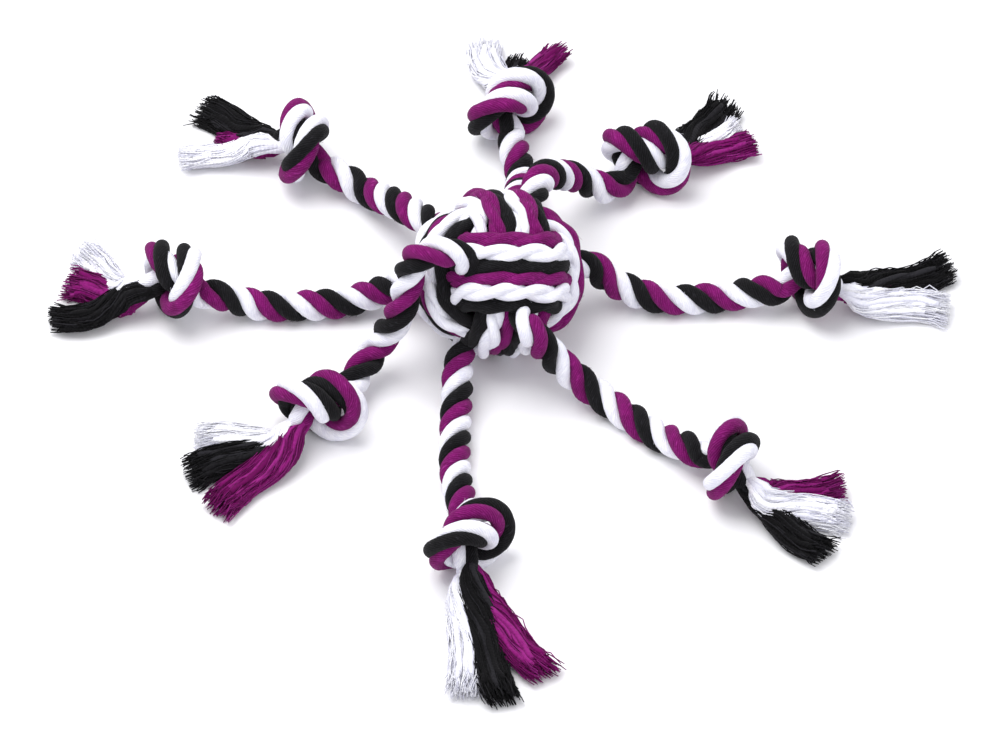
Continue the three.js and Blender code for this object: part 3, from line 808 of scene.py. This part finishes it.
# Each turn of a band is one rope flattened into three strands side by side. rows are its strands
# from the band's low edge to its high one, where it passes outside, and roll is the turn that
# swaps them on the hidden way round. Pulled open, a strand shows its two plies, twisted against
# the lay: they lie like roof tiles, most plainly in the slack white one.
plait = {
    "outerReach": 31.7, "innerReach": 25.8, "squareness": 2.7, "rowPitch": 5.3, "crown": 1.0,
    "crownMiddle": 0.25, "steps": 240, "facingRight": 18.0, "swapFrom": 0.3, "swapEase": 0.4,
    "plyTurns": 6, "plySides": 12, "plyOut": 0.8, "plyAside": 1.15,
    "wander": 0.75, "wanderWaves": (3, 9), "heave": 0.5, "heaveWaves": (4, 11),
    "twistWander": 0.5, "twistWaves": (2, 5), "swell": 0.05, "swellWaves": (5, 12),
}
plies = {
    "purple": {"apart": 1.0, "radius": 2.55},
    "black": {"apart": 0.85, "radius": 2.55},
    "white": {"apart": 1.5, "radius": 2.35},
}


def turnedAbout(vector, axis, degrees):
    angle = math.radians(degrees)
    return (vector * math.cos(angle) + np.cross(axis, vector) * math.sin(angle)
            + axis * axis.dot(vector) * (1 - math.cos(angle)))


viewerUp = np.cross(towardsViewer, right)
facing = turnedAbout(towardsViewer, viewerUp, plait["facingRight"])
across = turnedAbout(right, viewerUp, plait["facingRight"])
bands = {
    "front_band": {"outer": facing, "inner": across, "axis": viewerUp, "high": "upper", "low": "lower",
                   "rows": ("black", "white", "purple"), "roll": 120},
    "side_band": {"outer": across, "inner": viewerUp, "axis": facing, "high": "front", "low": "rear",
                  "rows": ("black", "purple", "white"), "roll": 120},
    "top_band": {"outer": viewerUp, "inner": facing, "axis": across, "high": "right", "low": "left",
                 "rows": ("white", "purple", "black"), "roll": -120},
}


# Small random bends of a closed ring, each with a whole number of waves round it.
def ringUnevenness(angles, dice, limits, waves=3):
    counts = [dice.randint(*limits) for _ in range(waves)]
    return sum(np.sin(count * angles + dice.uniform(0.0, 2 * math.pi)) for count in counts) / waves


# A circle's share in one direction, squared off towards a rounded square.
def squared(values):
    return np.sign(values) * np.abs(values) ** (2 / plait["squareness"])


def makeTurn(bandName, band, half):
    dice = random.Random(f"turn {bandName} {half}")
    angles = np.linspace(0.0, 2 * math.pi, plait["steps"], endpoint=False)
    middle = 1.5 * plait["rowPitch"] * (1 if half == "high" else -1)
    hiddenWay = smoothShare((1 - plait["swapFrom"] - np.abs(angles / math.pi - 1)) / plait["swapEase"])
    # strand 1 is the low row, strand 0 the middle one and strand 2 the high one
    order = (band["rows"][1], band["rows"][0], band["rows"][2])
    tubes = []
    for index, colour in enumerate(order):
        turn = math.pi / 2 + 2 * math.pi * index / 3 + math.radians(band["roll"]) * hiddenWay
        offset = middle + np.cos(turn) * plait["rowPitch"] / math.cos(math.radians(30))
        offset = offset + plait["wander"] * ringUnevenness(angles, dice, plait["wanderWaves"])
        rise = plait["crown"] * (np.sin(turn) - plait["crownMiddle"])
        rise = rise + plait["heave"] * ringUnevenness(angles, dice, plait["heaveWaves"])
        long = np.sqrt(np.maximum(plait["outerReach"] ** 2 - offset ** 2, 1.0)) + rise
        short = np.sqrt(np.maximum(plait["innerReach"] ** 2 - offset ** 2, 1.0)) + rise
        line = (ballCentre + band["outer"] * (long * squared(np.cos(angles)))[:, None]
                + band["inner"] * (short * squared(np.sin(angles)))[:, None]
                + band["axis"] * offset[:, None])
        outward = unit(line - ballCentre)
        along = unit(np.roll(line, -1, axis=0) - np.roll(line, 1, axis=0))
        beside = unit(np.cross(along, outward))
        ply, twistStart = plies[colour], dice.uniform(0.0, math.pi)
        run = travelled(np.vstack([line, line[:1]]))
        twist = twistStart - 2 * math.pi * plait["plyTurns"] * run[:-1] / run[-1]
        twist += plait["twistWander"] * ringUnevenness(angles, dice, plait["twistWaves"])
        swell = 1 + plait["swell"] * ringUnevenness(angles, dice, plait["swellWaves"])
        for plyTurn in (twist, twist + math.pi):
            lean = (plait["plyOut"] * np.cos(plyTurn)[:, None] * outward
                    + plait["plyAside"] * np.sin(plyTurn)[:, None] * beside)
            tubes.append({"line": line + ply["apart"] * lean, "normal": -outward,
                          "radii": ply["radius"] * swell, "material": colours.index(colour),
                          "closed": True, "sides": plait["plySides"]})
    tubes += looseFibres(tubes, dice)
    node = f"{bandName}_{band[half]}_turn"
    piece = tubeObject(f"{bandName}_{band[half]}_strands", tubes, strandMaterials)
    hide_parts(node)
    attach(piece, "ball")


for bandName, band in bands.items():
    for half in ("high", "low"):
        makeTurn(bandName, band, half)
print("the ball is plaited")


# The lump inside, where the four ropes cross: short lengths laid three ways, bowed round each other.
crossing = {"past": 4.0, "aside": 5.5, "bow": 3.5, "points": 24, "mostTurn": 6.0}


def makeCrossing():
    dice = random.Random("crossing")
    reach = (crossingHigh[0] - crossingLow[0]) / millimetre / 2 + crossing["past"]
    tubes = []
    for main, wide, high in ((facing, across, viewerUp), (across, viewerUp, facing),
                             (viewerUp, facing, across)):
        for side in (-1, 1):
            share = np.linspace(-1.0, 1.0, crossing["points"])
            line = ropeLine([ballCentre + main * (reach * s) + wide * (crossing["aside"] * side)
                             + high * (crossing["bow"] * side * (1 - s * s)) for s in share], lay["step"])
            _, normals, sides = carriedFrames(line, wide)
            turns = 2 * math.pi * travelled(line) / lay["insidePitch"]
            turns += dice.uniform(0.0, crossing["mostTurn"])
            spread = np.full(len(line), ropeRadius - lay["strandRadius"])
            radii = np.full(len(line), lay["strandRadius"])
            tubes += laidStrands(line, normals, sides, turns, spread, radii, colours, dice)
    piece = tubeObject("inner_crossing_ropes", tubes, strandMaterials)
    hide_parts("inner_crossing")
    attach(piece, "ball")


makeCrossing()
print("the crossing inside is laid")

bpy.context.view_layer.update()
